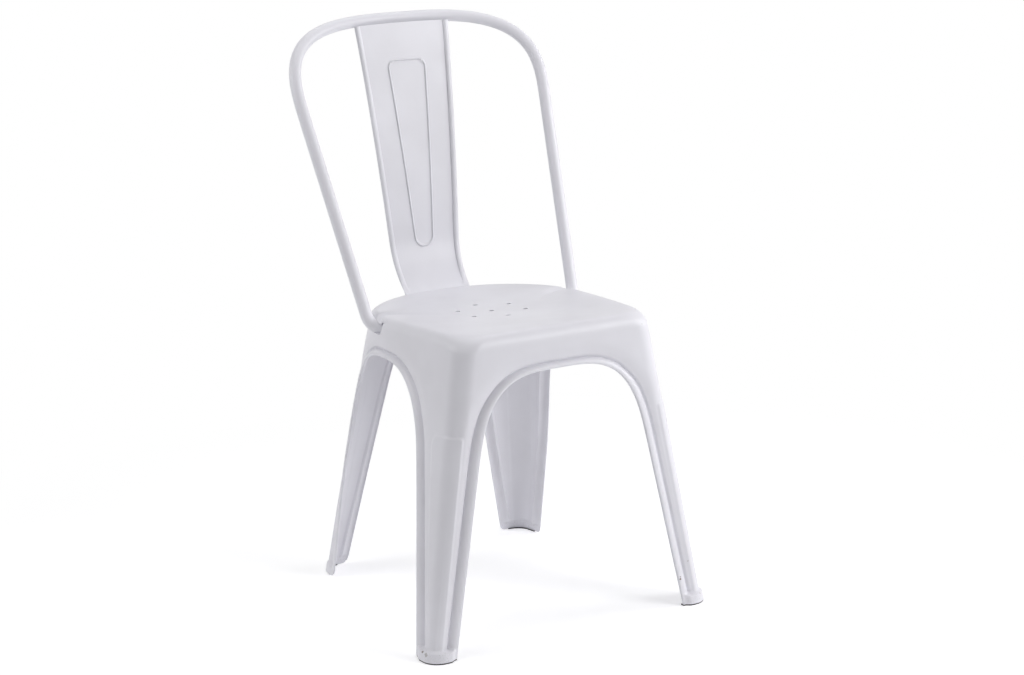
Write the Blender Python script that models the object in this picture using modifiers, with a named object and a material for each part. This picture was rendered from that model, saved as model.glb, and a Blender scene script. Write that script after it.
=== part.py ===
# Stacking bistro chair: pressed sheet-steel seat and legs, a bent tube back with a flat splat,
# a cross brace under the seat with stacking pads, and rubber glides under the feet.
import math

import bmesh
import bpy
from mathutils import Matrix, Vector

# Sheet and fits
SHEET = 0.0014
CLEARANCE = 0.0003

# Skirt: the corner lines of the four walls, on the floor and at the top of the walls
SKIRT_TOP = 0.420
FRONT_HALF_TOP = 0.1550
FRONT_HALF_FLOOR = 0.2226
FRONT_Y_TOP = -0.1894
FRONT_Y_FLOOR = -0.2086
REAR_HALF_TOP = 0.161
REAR_HALF_FLOOR = 0.1745
REAR_Y_TOP = 0.1775
REAR_Y_FLOOR = 0.2425
FRONT_ROUND_TOP = 0.026
FRONT_ROUND_FLOOR = 0.017
REAR_ROUND_TOP_X = 0.145
REAR_ROUND_TOP_Y = 0.150
REAR_ROUND_FLOOR = 0.018
SIDE_BULGE_TOP = 0.0100
SIDE_BULGE_FLOOR = 0.0095
SIDE_SPREAD = 0.080

# Legs in width on each wall, at the floor and at the seam to the seat, and the arches between them
FRONT_FOOT = 0.0358
FRONT_SEAM = 0.0473
FRONT_SPRING = 0.250
FRONT_APEX = 0.381
FRONT_POWER = 3.5
REAR_FOOT = 0.0367
REAR_SEAM = 0.0954
REAR_SPRING = 0.280
REAR_APEX = 0.381
REAR_POWER = 3.0
SIDE_MIDDLE_Y = 0.012
SIDE_FRONT_FOOT = 0.0447
SIDE_FRONT_SEAM = 0.0963
SIDE_REAR_FOOT = 0.0491
SIDE_REAR_SEAM = 0.0788
SIDE_SPRING = 0.262
SIDE_APEX = 0.380
SIDE_POWER = 2.7

# Rim pressed along every arch and leg edge
RIM_LEG = 0.0190
RIM_ARCH = 0.0125
RIM_STEP = 0.0040
RIM_RECESS = 0.0015
RIM_FALL = 0.0030
RIM_APPROACH = 0.0200
RIM_FLARE = 0.0010
RIM_ROLL = 0.0025
RIM_RETURN = 0.0030

# Legs: welded seam to the seat, raised tongue on the corner, flared foot
LEG_TOP = 0.320
TRIM = 0.004
TONGUE_TOP = 0.307
TONGUE_RISE = 0.0022
TONGUE_STEP = 0.0030
FRONT_TONGUE_END = 0.0165
FRONT_TONGUE_SIDE = 0.0500
REAR_TONGUE = 0.0450
FOOT_HEIGHT = 0.011
FOOT_SLOPE = 0.005
FOOT_FLARE = 0.006

# Seat top
FRONT_RISE = 0.0205
REAR_RISE = 0.0100
SEAT_DISH = 0.008
SHOULDER = 0.016
SEAT_CORNER = 0.060
HOLE_DIAMETER = 0.006
HOLE_CIRCLE = 0.049
HOLES_ROUND = 6

# Notch in each side wall, where an end of the back tube goes in
NOTCH_FRONT_Y = 0.034
NOTCH_REAR_Y = 0.072
NOTCH_BOTTOM = 0.4125
NOTCH_DEPTH = 0.012
NOTCH_ROUND = 0.004

# Back tube
TUBE_DIAMETER = 0.0176
TUBE_FOOT_X = 0.1726
TUBE_FOOT_Y = 0.0625
TUBE_FOOT_Z = 0.440
TUBE_SPRING_X = 0.2001
TUBE_SPRING_Y = 0.1710
TUBE_SPRING_Z = 0.700
TUBE_BEND = 0.020
TUBE_INSERT = 0.020
TUBE_END_Z = 0.416
HOOP_TOP = 0.8405
HOOP_BOW = 0.0400
HOOP_POWER = 3.27
TUBE_FLAT = 0.0011

# Splat
SPLAT_HALF_TOP = 0.0784
SPLAT_HALF_FOOT = 0.0546
SPLAT_BOTTOM = 0.4297
SPLAT_TOP_DROP = 0.006
SPLAT_RUN = 0.0535
SPLAT_ARC = 0.0266
SPLAT_KICK = 0.0328
SPLAT_BEND = 0.076
SPLAT_BOW = 0.0040
BEAD_WIDTH = 0.009
BEAD_RISE = 0.005
BEAD_START = 0.025
BEAD_SHAPE = ((0, 0), (0.2, 0.8), (0.5, 1), (1, 0))
PANEL_HALF_TOP = 0.031
PANEL_HALF_FOOT = 0.014
PANEL_TOP = 0.771
PANEL_BOTTOM = 0.4925
PANEL_RISE = 0.0018
PANEL_STEP = 0.003

# Cross brace and its pads
BRACE_WIDTH = 0.022
BRACE_THICKNESS = 0.003
BRACE_DROP = 0.0265
PAD_LENGTH = 0.030
PAD_WALL = 0.0025
PAD_BASE = 0.004
PAD_INSET = 0.035

# Glides
GLIDE_SHOW = 0.0025
GLIDE_INSET = 0.0005
GLIDE_WIDTH = 0.006

# Mesh resolution: steps along each stretch, rings of the seat as shares of its edge, merge distance
FILLET_STEPS = 6
WALL_STEPS = 5
CORNER_STEPS = 4
SHOULDER_STEPS = 3
BEND_STEPS = 5
HOOP_STEPS = 18
SEARCH_STEPS = 30
SEAT_RINGS = (0.88, 0.7, 0.5, 0.3)
HOLE_SIDES = 12
REAR_CORNER_LINE = 0.085
MERGE = 0.00001

CORNERS = [(end, sign) for end in ("front", "rear") for sign in (-1, 1)]


def mix(start, stop, share):
    return start + (stop - start) * share


# Plan position of a wall corner and its rounding, at a height
def corner(end, z):
    share = z / SKIRT_TOP
    if end == "front":
        return Vector((mix(FRONT_HALF_FLOOR, FRONT_HALF_TOP, share), mix(FRONT_Y_FLOOR, FRONT_Y_TOP, share)))
    return Vector((mix(REAR_HALF_FLOOR, REAR_HALF_TOP, share), mix(REAR_Y_FLOOR, REAR_Y_TOP, share)))


def rounding(end, kind, z):
    share = z / SKIRT_TOP
    if end == "front":
        return mix(FRONT_ROUND_FLOOR, FRONT_ROUND_TOP, share)
    return mix(REAR_ROUND_FLOOR, REAR_ROUND_TOP_X if kind == "end" else REAR_ROUND_TOP_Y, share)


def inward(end):
    return 1 if end == "front" else -1


# Point of a straight wall in plan: q is the half width on an end wall and y on the side wall
def straight_point(end, kind, q, z):
    front, rear = corner("front", z), corner("rear", z)
    if kind == "end":
        return Vector((q, corner(end, z).y)), Vector((0, -inward(end)))
    run = rear - front
    share = (q - front.y) / run.y
    bulge = 4 * mix(SIDE_BULGE_FLOOR, SIDE_BULGE_TOP, z / SKIRT_TOP)
    spread = SIDE_SPREAD * (1 - z / SKIRT_TOP)
    point = front + run * share + Vector(((bulge + spread * (1 - share) ** 2) * share * (1 - share), 0))
    slope = bulge * (1 - 2 * share) + spread * (1 - share) ** 2 * (1 - 4 * share)
    return point, Vector((run.y, -run.x - slope)).normalized()


# Point of a rounded corner in plan: share runs from the end wall to the side wall
def fillet_point(end, share, z, reaches, out):
    tip = corner(end, z)
    first = straight_point(end, "end", tip.x - reaches[0], z)[0]
    last = straight_point(end, "side", tip.y + inward(end) * reaches[1], z)[0]
    weight = math.sqrt(0.5)
    a, b, c = (1 - share) ** 2, 2 * weight * share * (1 - share), share ** 2
    point = (first * a + tip * b + last * c) / (a + b + c)
    tangent = (tip - first) * (1 - share) + (last - tip) * share
    normal = Vector((tangent.y, -tangent.x)) * inward(end)
    return point + normal.normalized() * out


def roundings(end, z):
    return rounding(end, "end", z), rounding(end, "side", z)


# Share of the rounded corner at a distance from the corner's tip, measured along one wall
def fillet_share(end, kind, distance, z, reaches):
    axis = 0 if kind == "end" else 1
    if distance >= reaches[axis]:
        return axis
    tip = corner(end, z)[axis]
    low, high = 0, 1
    for _ in range(SEARCH_STEPS):
        share = (low + high) / 2
        nearer = abs(fillet_point(end, share, z, reaches, 0)[axis] - tip) < distance
        if nearer == (kind == "end"):
            high = share
        else:
            low = share
    return (low + high) / 2


# Point of the walls in plan, at a distance from the corner's tip along one wall
def wall_point(end, kind, distance, z, reaches, out):
    if distance < reaches[0 if kind == "end" else 1]:
        return fillet_point(end, fillet_share(end, kind, distance, z, reaches), z, reaches, out)
    tip = corner(end, z)
    q = tip.x - distance if kind == "end" else tip.y + inward(end) * distance
    point, normal = straight_point(end, kind, q, z)
    return point + normal * out


# Arches: leg width at the floor and at the seam, spring, apex and power of the arch
ARCHES = {
    ("front", "end"): (FRONT_FOOT, FRONT_SEAM, FRONT_SPRING, FRONT_APEX, FRONT_POWER),
    ("rear", "end"): (REAR_FOOT, REAR_SEAM, REAR_SPRING, REAR_APEX, REAR_POWER),
    ("front", "side"): (SIDE_FRONT_FOOT, SIDE_FRONT_SEAM, SIDE_SPRING, SIDE_APEX, SIDE_POWER),
    ("rear", "side"): (SIDE_REAR_FOOT, SIDE_REAR_SEAM, SIDE_SPRING, SIDE_APEX, SIDE_POWER),
}


# Distance from the corner's tip to the arch's middle
def middle_distance(end, kind, z):
    tip = corner(end, z)
    return tip.x if kind == "end" else abs(SIDE_MIDDLE_Y - tip.y)


# Distance from the corner's tip to the arch edge, where closed is the share of the opening that is left
def edge_distance(end, kind, z, closed):
    foot, seam = ARCHES[end, kind][:2]
    middle = middle_distance(end, kind, z)
    return middle - (middle - mix(foot, seam, z / LEG_TOP)) * closed


def edge_at_height(end, kind, z):
    spring, apex, power = ARCHES[end, kind][2:]
    rise = min(1, max(0, (z - spring) / (apex - spring)))
    return edge_distance(end, kind, z, (1 - rise ** power) ** (1 / power))


def edge_along_arch(end, kind, share):
    spring, apex, power = ARCHES[end, kind][2:]
    start = math.asin(max(0, (LEG_TOP - TRIM - spring) / (apex - spring)) ** (power / 2))
    angle = mix(start, math.pi / 2, share)
    z = spring + (apex - spring) * math.sin(angle) ** (2 / power)
    return edge_distance(end, kind, z, max(0, math.cos(angle)) ** (2 / power)), z


# The wall falls in towards the rim, over the last stretch before it
def rim_fall(before):
    return RIM_FALL * max(0, 1 - before / RIM_APPROACH) ** 2


# Rim section: distance from the edge and offset from the wall, with a crest that rolls back
def rim_section(width):
    crest, groove = (RIM_ROLL, RIM_FLARE), (width - RIM_STEP, -RIM_FALL - RIM_RECESS)
    return [(0, RIM_FLARE - RIM_RETURN), crest, groove, (width, -RIM_FALL)]


# Tongue: reach from the corner's tip along each wall, at its top
TONGUES = {
    ("front", "end"): FRONT_TONGUE_END,
    ("front", "side"): FRONT_TONGUE_SIDE,
    ("rear", "end"): REAR_TONGUE,
    ("rear", "side"): REAR_TONGUE,
}


# Leg section in plan, from the rim on the end wall round the corner to the rim on the side wall
def leg_section(end, z, raised, flare, inset=0.0):
    reaches, tip = roundings(end, z), corner(end, z)
    halves, shares, panels = [], [], []
    for kind in ("end", "side"):
        length = edge_at_height(end, kind, z)
        panel = length - RIM_LEG
        narrow = edge_at_height(end, kind, 0) - RIM_LEG - TONGUE_STEP
        tongue = mix(narrow, TONGUES[end, kind], min(1, z / TONGUE_TOP))
        stops = []
        for depth, (distance, offset) in enumerate(rim_section(RIM_LEG)):
            stops.append((length - distance, offset + flare * depth / 3))
        for distance, rise in ((tongue + TONGUE_STEP / 2, 0), (tongue - TONGUE_STEP / 2, raised)):
            stops.append((distance, rise + flare - rim_fall(panel - distance)))
        halves.append([wall_point(end, kind, a, z, reaches, out - inset) for a, out in stops])
        shares.append(fillet_share(end, kind, tongue - TONGUE_STEP, z, reaches))
        panels.append(panel)
    bend = []
    for step in range(FILLET_STEPS + 1):
        share = mix(shares[0], shares[1], step / FILLET_STEPS)
        axis = round(share)
        way = abs(fillet_point(end, share, z, reaches, 0)[axis] - tip[axis])
        out = raised + flare - rim_fall(panels[axis] - way)
        bend.append(fillet_point(end, share, z, reaches, out - inset))
    return halves[0] + bend + halves[1][::-1]


FOOT_BOTTOM = GLIDE_SHOW + CLEARANCE


# Heights of the leg's rows, each with its tongue rise and foot flare
def leg_rows():
    foot_top = FOOT_BOTTOM + FOOT_HEIGHT
    rows = [(0, 0, FOOT_FLARE), (foot_top, 0, FOOT_FLARE)]
    panel_start = foot_top + FOOT_SLOPE
    for step in range(WALL_STEPS + 1):
        rows.append((mix(panel_start, TONGUE_TOP, step / WALL_STEPS), TONGUE_RISE, 0))
    rows.append((TONGUE_TOP + TONGUE_STEP, 0, 0))
    rows.append((LEG_TOP + TRIM, 0, 0))
    return rows


# Collections, materials and the parent of every part
def clear_scene():
    for item in list(bpy.data.objects):
        bpy.data.objects.remove(item, do_unlink=True)


def make_collection(name):
    collection = bpy.data.collections.new(name)
    bpy.context.scene.collection.children.link(collection)
    return collection


def make_material(name, colour, roughness, metallic):
    material = bpy.data.materials.new(name)
    material.use_nodes = True
    shader = material.node_tree.nodes["Principled BSDF"]
    shader.inputs["Base Color"].default_value = (*colour, 1)
    shader.inputs["Roughness"].default_value = roughness
    shader.inputs["Metallic"].default_value = metallic
    return material


clear_scene()
PARTS = make_collection("bistro_chair")
CUTTERS = make_collection("cutters")
WHITE_PAINT = make_material("white_paint", (0.80, 0.80, 0.82), 0.35, 0.0)
DARK_RUBBER = make_material("dark_rubber", (0.03, 0.03, 0.035), 0.8, 0.0)
BLACK_PLASTIC = make_material("black_plastic", (0.05, 0.05, 0.05), 0.5, 0.0)
ROOT = bpy.data.objects.new("chair_root", None)
PARTS.objects.link(ROOT)


def add_part(name, data, material):
    part = bpy.data.objects.new(name, data)
    data.materials.append(material)
    PARTS.objects.link(part)
    part.parent = ROOT
    return part


def add_cutter(name, data):
    cutter = bpy.data.objects.new(name, data)
    CUTTERS.objects.link(cutter)
    cutter.parent = ROOT
    cutter.hide_render = True
    cutter.display_type = "WIRE"
    return cutter


def mesh_from(name, bm):
    mesh = bpy.data.meshes.new(name)
    bm.to_mesh(mesh)
    bm.free()
    return mesh


def mapped_grid(bm, columns, rows, place):
    made = bmesh.ops.create_grid(bm, x_segments=columns, y_segments=rows, size=1)
    for vert in made["verts"]:
        i = round((vert.co.x + 1) / 2 * columns)
        j = round((vert.co.y + 1) / 2 * rows)
        vert.co = place(i, j)


# Joins the grids of a surface and turns its faces away from a point inside
def close_up(bm, inside):
    bmesh.ops.remove_doubles(bm, verts=bm.verts, dist=MERGE)
    bmesh.ops.recalc_face_normals(bm, faces=bm.faces)
    outward = 0
    for face in bm.faces:
        outward += (face.calc_center_median() - inside).dot(face.normal) * face.calc_area()
    if outward < 0:
        bmesh.ops.reverse_faces(bm, faces=bm.faces)


def thicken(part):
    shell = part.modifiers.new("sheet", "SOLIDIFY")
    shell.thickness = SHEET
    shell.offset = -1
    shell.use_even_offset = True


def cut(part, cutter, operation="DIFFERENCE"):
    boolean = part.modifiers.new(cutter.name, "BOOLEAN")
    boolean.object = cutter
    boolean.operation = operation


def box(name, place, size):
    bm = bmesh.new()
    bmesh.ops.create_cube(bm, size=1, matrix=place @ Matrix.Diagonal((*size, 1)))
    return mesh_from(name, bm)


# Slab across the whole chair, to trim sheet edges flat
def slab(name, bottom, top):
    width = 4 * FRONT_HALF_FLOOR
    place = Matrix.Translation((0, 0, (bottom + top) / 2))
    return add_cutter(name, box(name, place, (width, width, top - bottom)))


# Legs
def make_leg(end, sign, trims):
    rows = leg_rows()
    sections = [(leg_section(end, z, raised, flare), z) for z, raised, flare in rows]
    bm = bmesh.new()

    def place(i, j):
        points, z = sections[j]
        return Vector((sign * points[i].x, points[i].y, z))

    mapped_grid(bm, len(sections[0][0]) - 1, len(rows) - 1, place)
    ends = sections[len(rows) // 2][0]
    inside = (ends[0] + ends[-1]) / 2
    close_up(bm, Vector((sign * inside.x, inside.y, LEG_TOP / 2)))
    side = "left" if sign > 0 else "right"
    leg = add_part(f"leg_{end}_{side}", mesh_from("leg", bm), WHITE_PAINT)
    thicken(leg)
    for trim in trims:
        cut(leg, trim)


# Seat: half walls between a spine (corner line, then top edge) and the arch, corners, shoulder, top
# The corner line parts a half wall from its corner: it stays clear of the rim at the seam
def corner_line(end, kind, z):
    seam = LEG_TOP - TRIM
    low = min(rounding(end, kind, seam), edge_at_height(end, kind, seam) - 2 * RIM_LEG)
    high = FRONT_ROUND_TOP if end == "front" else REAR_CORNER_LINE
    return mix(low, high, (z - seam) / (SKIRT_TOP - seam))


def half_wall(bm, end, kind, sign):
    rows = CORNER_STEPS + WALL_STEPS
    middle = middle_distance(end, kind, SKIRT_TOP)

    def spine(row):
        z = mix(LEG_TOP - TRIM, SKIRT_TOP, min(1, row / CORNER_STEPS))
        return mix(corner_line(end, kind, z), middle, max(0, row - CORNER_STEPS) / WALL_STEPS), z

    def place(i, j):
        first, last = Vector(spine(j)), Vector(edge_along_arch(end, kind, j / rows))
        if j == rows:
            first.x = last.x
        length = (last - first).length
        rim = rim_section(mix(RIM_LEG, RIM_ARCH, j / rows))[::-1]
        half = (length - rim[0][0]) / 2
        stops = [(0, 0), (half, -rim_fall(half))]
        stops += [(length - distance, offset) for distance, offset in rim]
        along, out = stops[i]
        distance, z = first.lerp(last, along / length)
        if j == rows:
            distance = middle_distance(end, kind, z)
        point = wall_point(end, kind, distance, z, roundings(end, z), out)
        return Vector((sign * point.x, point.y, z))

    mapped_grid(bm, 1 + len(rim_section(RIM_LEG)), rows, place)


def corner_shares(end, distances, z, reaches):
    walls = zip(("end", "side"), distances)
    return [fillet_share(end, kind, distance, z, reaches) for kind, distance in walls]


def corner_wall(bm, end, sign):
    def place(i, j):
        z = mix(LEG_TOP - TRIM, SKIRT_TOP, j / CORNER_STEPS)
        distances = [corner_line(end, kind, z) for kind in ("end", "side")]
        first, last = corner_shares(end, distances, z, roundings(end, z))
        point = fillet_point(end, mix(first, last, i / FILLET_STEPS), z, roundings(end, z), 0)
        return Vector((sign * point.x, point.y, z))

    mapped_grid(bm, FILLET_STEPS, CORNER_STEPS, place)


# Right half of the outline at the skirt's top, from front middle to rear middle
def half_outline(inset, front_reach):
    points = []
    for end in ("front", "rear"):
        reaches = (front_reach, front_reach) if end == "front" else roundings(end, SKIRT_TOP)
        line = front_reach if end == "front" else REAR_CORNER_LINE
        runs = []
        for kind in ("end", "side"):
            middle = middle_distance(end, kind, SKIRT_TOP)
            stops = [mix(middle, line, step / WALL_STEPS) for step in range(WALL_STEPS + 1)]
            runs.append([wall_point(end, kind, stop, SKIRT_TOP, reaches, -inset) for stop in stops])
        first, last = corner_shares(end, (line, line), SKIRT_TOP, reaches)
        bend = []
        for step in range(1, FILLET_STEPS):
            share = mix(first, last, step / FILLET_STEPS)
            bend.append(fillet_point(end, share, SKIRT_TOP, reaches, -inset))
        quarter = runs[0] + bend + runs[1][::-1]
        points += quarter[:-1] if end == "front" else quarter[::-1]
    return points


def full_outline(inset, front_reach):
    right = half_outline(inset, front_reach)
    left = [Vector((-point.x, point.y)) for point in right[-2:0:-1]]
    return right + left


# The seat falls slightly to the rear
def seat_height(y):
    return SKIRT_TOP + mix(FRONT_RISE, REAR_RISE, (y - FRONT_Y_TOP) / (REAR_Y_TOP - FRONT_Y_TOP))


def seat_rings():
    rings = []
    for step in range(SHOULDER_STEPS + 1):
        angle = math.pi / 2 * step / SHOULDER_STEPS
        inset = SHOULDER * (1 - math.cos(angle))
        reach = mix(FRONT_ROUND_TOP, SEAT_CORNER, step / SHOULDER_STEPS)
        ring = []
        for x, y in full_outline(inset, reach):
            ring.append((x, y, mix(SKIRT_TOP, seat_height(y), math.sin(angle))))
        rings.append(ring)
    edge = rings[-1]
    for share in SEAT_RINGS:
        dish = SEAT_DISH * (1 - share ** 2)
        rings.append([(x * share, y * share, seat_height(y * share) - dish) for x, y, _ in edge])
    return rings


def hole_places():
    places = [(0, 0)]
    for step in range(HOLES_ROUND):
        angle = math.pi / 2 + 2 * math.pi * step / HOLES_ROUND
        places.append((HOLE_CIRCLE * math.cos(angle), HOLE_CIRCLE * math.sin(angle)))
    return places


def make_seat():
    bm = bmesh.new()
    for end, sign in CORNERS:
        half_wall(bm, end, "end", sign)
        half_wall(bm, end, "side", sign)
        corner_wall(bm, end, sign)
    rings = seat_rings()
    count = len(rings[0])
    mapped_grid(bm, count, len(rings) - 1, lambda i, j: Vector(rings[j][i % count]))
    bmesh.ops.remove_doubles(bm, verts=bm.verts, dist=MERGE)
    reach = max(Vector(point).to_2d().length for point in rings[-1])
    middle = {vert for vert in bm.verts if vert.co.to_2d().length < reach + SHEET}
    loop = [edge for edge in bm.edges if edge.is_boundary and middle.issuperset(edge.verts)]
    bmesh.ops.contextual_create(bm, geom=loop)
    close_up(bm, Vector((0, 0, LEG_TOP)))
    seat = add_part("seat_pan", mesh_from("seat_pan", bm), WHITE_PAINT)
    thicken(seat)
    bm = bmesh.new()
    for x, y in hole_places():
        place = Matrix.Translation((x, y, seat_height(y)))
        radius = HOLE_DIAMETER / 2
        bmesh.ops.create_cone(bm, cap_ends=True, segments=HOLE_SIDES, radius1=radius, radius2=radius,
                              depth=4 * SEAT_DISH, matrix=place)
    cut(seat, add_cutter("drain_holes", mesh_from("drain_holes", bm)))
    for sign in (-1, 1):
        cut(seat, notch_cutter(sign))
    cut(seat, hoop_space())
    cut(seat, slab("seat_trim", LEG_TOP - 3 * TRIM, LEG_TOP + CLEARANCE))


def notch_cutter(sign):
    wall = straight_point("rear", "side", (NOTCH_FRONT_Y + NOTCH_REAR_Y) / 2, SKIRT_TOP)[0].x
    seat_top = SKIRT_TOP + FRONT_RISE
    size = Vector((2 * NOTCH_DEPTH, NOTCH_REAR_Y - NOTCH_FRONT_Y, 2 * (seat_top - NOTCH_BOTTOM)))
    place = Vector((sign * wall, (NOTCH_FRONT_Y + NOTCH_REAR_Y) / 2, seat_top))
    bm = bmesh.new()
    bmesh.ops.create_cube(bm, size=1, matrix=Matrix.LocRotScale(place, None, size))
    cutter = add_cutter("notch_right" if sign < 0 else "notch_left", mesh_from("notch", bm))
    bevel = cutter.modifiers.new("rounding", "BEVEL")
    bevel.width = NOTCH_ROUND
    bevel.segments = 2
    return cutter


# Back tube: a straight leaning side, a bend into the notch, a rounded and bowed top
def side_line(z):
    share = (z - TUBE_FOOT_Z) / (TUBE_SPRING_Z - TUBE_FOOT_Z)
    return Vector((mix(TUBE_FOOT_X, TUBE_SPRING_X, share), mix(TUBE_FOOT_Y, TUBE_SPRING_Y, share), z))


def hoop_point(angle):
    rise = HOOP_TOP - TUBE_DIAMETER / 2 - TUBE_SPRING_Z
    z = TUBE_SPRING_Z + rise * math.sin(angle) ** (2 / HOOP_POWER)
    share = max(0, math.cos(angle)) ** (2 / HOOP_POWER)
    line = side_line(z)
    return Vector((line.x * share, line.y + HOOP_BOW * (1 - share ** 2), z))


# Rounds a corner of a path with points on a smooth bend of the given reach
def rounded(before, tip, after, reach, steps):
    start = tip + (before - tip).normalized() * reach
    stop = tip + (after - tip).normalized() * reach
    points = []
    for step in range(steps + 1):
        t = step / steps
        points.append(start * (1 - t) ** 2 + tip * (2 * t * (1 - t)) + stop * t ** 2)
    return points


def hoop_half():
    knee = side_line(TUBE_END_Z)
    inside = knee + Vector((-1, -1, 0)).normalized() * (TUBE_BEND + TUBE_INSERT)
    points = [inside] + rounded(inside, knee, side_line(TUBE_SPRING_Z), TUBE_BEND, BEND_STEPS)
    for step in range(HOOP_STEPS + 1):
        points.append(hoop_point(math.pi / 2 * step / HOOP_STEPS))
    return points


def hoop_curve(name, radius):
    half = hoop_half()
    points = half + [Vector((-point.x, point.y, point.z)) for point in half[-2::-1]]
    curve = bpy.data.curves.new(name, "CURVE")
    curve.dimensions = "3D"
    spline = curve.splines.new("POLY")
    spline.points.add(len(points) - 1)
    for spot, point in zip(spline.points, points):
        spot.co = (*point, 1)
    curve.bevel_depth = radius
    curve.bevel_resolution = 3
    curve.use_fill_caps = True
    return curve


def make_hoop():
    hoop = add_part("back_hoop", hoop_curve("back_hoop", TUBE_DIAMETER / 2), WHITE_PAINT)
    weld = hoop.modifiers.new("weld", "WELD")
    weld.merge_threshold = MERGE


# The space that the tube takes in the seat, so that the notches fit round its ends
def hoop_space():
    guide = bpy.data.objects.new("hoop_space", hoop_curve("hoop_space", TUBE_DIAMETER / 2 + CLEARANCE))
    CUTTERS.objects.link(guide)
    view = bpy.context.evaluated_depsgraph_get()
    mesh = bpy.data.meshes.new_from_object(guide.evaluated_get(view))
    bpy.data.objects.remove(guide)
    bm = bmesh.new()
    bm.from_mesh(mesh)
    bmesh.ops.remove_doubles(bm, verts=bm.verts, dist=MERGE)
    bmesh.ops.recalc_face_normals(bm, faces=bm.faces)
    return add_cutter("hoop_space", mesh_from("hoop_space", bm))


# Splat: stands on the seat's rear shoulder, kicks back above it and leans to the tube's top
def splat_top():
    return HOOP_TOP - TUBE_DIAMETER / 2 - SPLAT_TOP_DROP


def splat_y(z):
    share = SPLAT_HALF_TOP / side_line(HOOP_TOP).x
    tube = hoop_point(math.acos(share ** (HOOP_POWER / 2)))
    tube_front = math.sqrt((TUBE_DIAMETER / 2) ** 2 - (tube.z - splat_top()) ** 2)
    top_y = tube.y - tube_front + TUBE_FLAT - CLEARANCE - SHEET
    low = (splat_top() - z) / (splat_top() - SPLAT_BOTTOM)
    kick = max(0, 1 - (z - SPLAT_BOTTOM) / SPLAT_BEND)
    return top_y - SPLAT_RUN * low - SPLAT_ARC * low * (1 - low) - SPLAT_KICK * kick ** 2


def splat_section(z):
    half = mix(SPLAT_HALF_FOOT, SPLAT_HALF_TOP, (z - SPLAT_BOTTOM) / (splat_top() - SPLAT_BOTTOM))
    panel = mix(PANEL_HALF_FOOT, PANEL_HALF_TOP, (z - PANEL_BOTTOM) / (PANEL_TOP - PANEL_BOTTOM))
    raised = PANEL_RISE if PANEL_BOTTOM <= z <= PANEL_TOP else 0
    bead = BEAD_RISE * min(1, (z - SPLAT_BOTTOM) / BEAD_START)
    side = [(half - BEAD_WIDTH * across, bead * rise) for across, rise in BEAD_SHAPE]
    side += [(panel + PANEL_STEP, 0), (panel, raised)]
    return [(-x, rise) for x, rise in side] + [(0, raised)] + side[::-1]


def make_splat():
    steps = [step / BEND_STEPS for step in range(BEND_STEPS + 1)]
    rows = [mix(SPLAT_BOTTOM, PANEL_BOTTOM - PANEL_STEP, step) for step in steps]
    rows += [mix(PANEL_BOTTOM, PANEL_TOP, step) for step in steps]
    rows += [PANEL_TOP + PANEL_STEP, splat_top()]
    sections = [splat_section(z) for z in rows]
    bm = bmesh.new()

    def place(i, j):
        x, rise = sections[j][i]
        bow = SPLAT_BOW * (1 - (x / sections[j][-1][0]) ** 2)
        return Vector((x, splat_y(rows[j]) + bow - rise, rows[j]))

    mapped_grid(bm, len(sections[0]) - 1, len(rows) - 1, place)
    close_up(bm, Vector((0, REAR_Y_TOP * 2, SKIRT_TOP)))
    splat = add_part("back_splat", mesh_from("back_splat", bm), WHITE_PAINT)
    thicken(splat)


# Cross brace: two flat bars that end at the walls' inner faces, one over the other
BRACE_BOTTOM = SKIRT_TOP - BRACE_DROP


def inner_volume():
    gap = SHEET + CLEARANCE
    rings = []
    for z in (BRACE_BOTTOM - BRACE_THICKNESS, BRACE_BOTTOM + 4 * BRACE_THICKNESS):
        ring = []
        for end, shares in (("front", range(FILLET_STEPS + 1)), ("rear", range(FILLET_STEPS, -1, -1))):
            for step in shares:
                point = fillet_point(end, step / FILLET_STEPS, z, roundings(end, z), -gap)
                ring.append((point.x, point.y, z))
        rings.append(ring + [(-x, y, z) for x, y, z in ring[::-1]])
    bm = bmesh.new()
    count = len(rings[0])
    mapped_grid(bm, count, 1, lambda i, j: Vector(rings[j][i % count]))
    bmesh.ops.remove_doubles(bm, verts=bm.verts, dist=MERGE)
    bmesh.ops.holes_fill(bm, edges=bm.edges, sides=0)
    bmesh.ops.recalc_face_normals(bm, faces=bm.faces)
    return add_cutter("inner_volume", mesh_from("inner_volume", bm))


def brace_end(end, z):
    return fillet_point(end, 0.5, z, roundings(end, z), 0)


def brace_frame(sign, z):
    front, rear = brace_end("front", z), brace_end("rear", z)
    start, stop = Vector((sign * front.x, front.y, z)), Vector((-sign * rear.x, rear.y, z))
    run = stop - start
    turn = Matrix.Rotation(math.atan2(run.y, run.x), 4, "Z")
    return Matrix.Translation((start + stop) / 2) @ turn, run.length


def make_brace():
    limits = inner_volume()
    for level, (name, sign) in enumerate((("brace_bar_lower", -1), ("brace_bar_upper", 1))):
        bottom = BRACE_BOTTOM + level * (BRACE_THICKNESS + CLEARANCE)
        place, length = brace_frame(sign, bottom + BRACE_THICKNESS / 2)
        bar = box(name, place, (length + 2 * PAD_LENGTH, BRACE_WIDTH, BRACE_THICKNESS))
        cut(add_part(name, bar, WHITE_PAINT), limits, "INTERSECT")
        for along, end in ((-1, "front"), (1, "rear")):
            side = "left" if sign * along < 0 else "right"
            shift = Matrix.Translation((along * (length / 2 - PAD_INSET - PAD_LENGTH / 2), 0, 0))
            make_pad(f"brace_pad_{end}_{side}", place @ shift)


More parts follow.
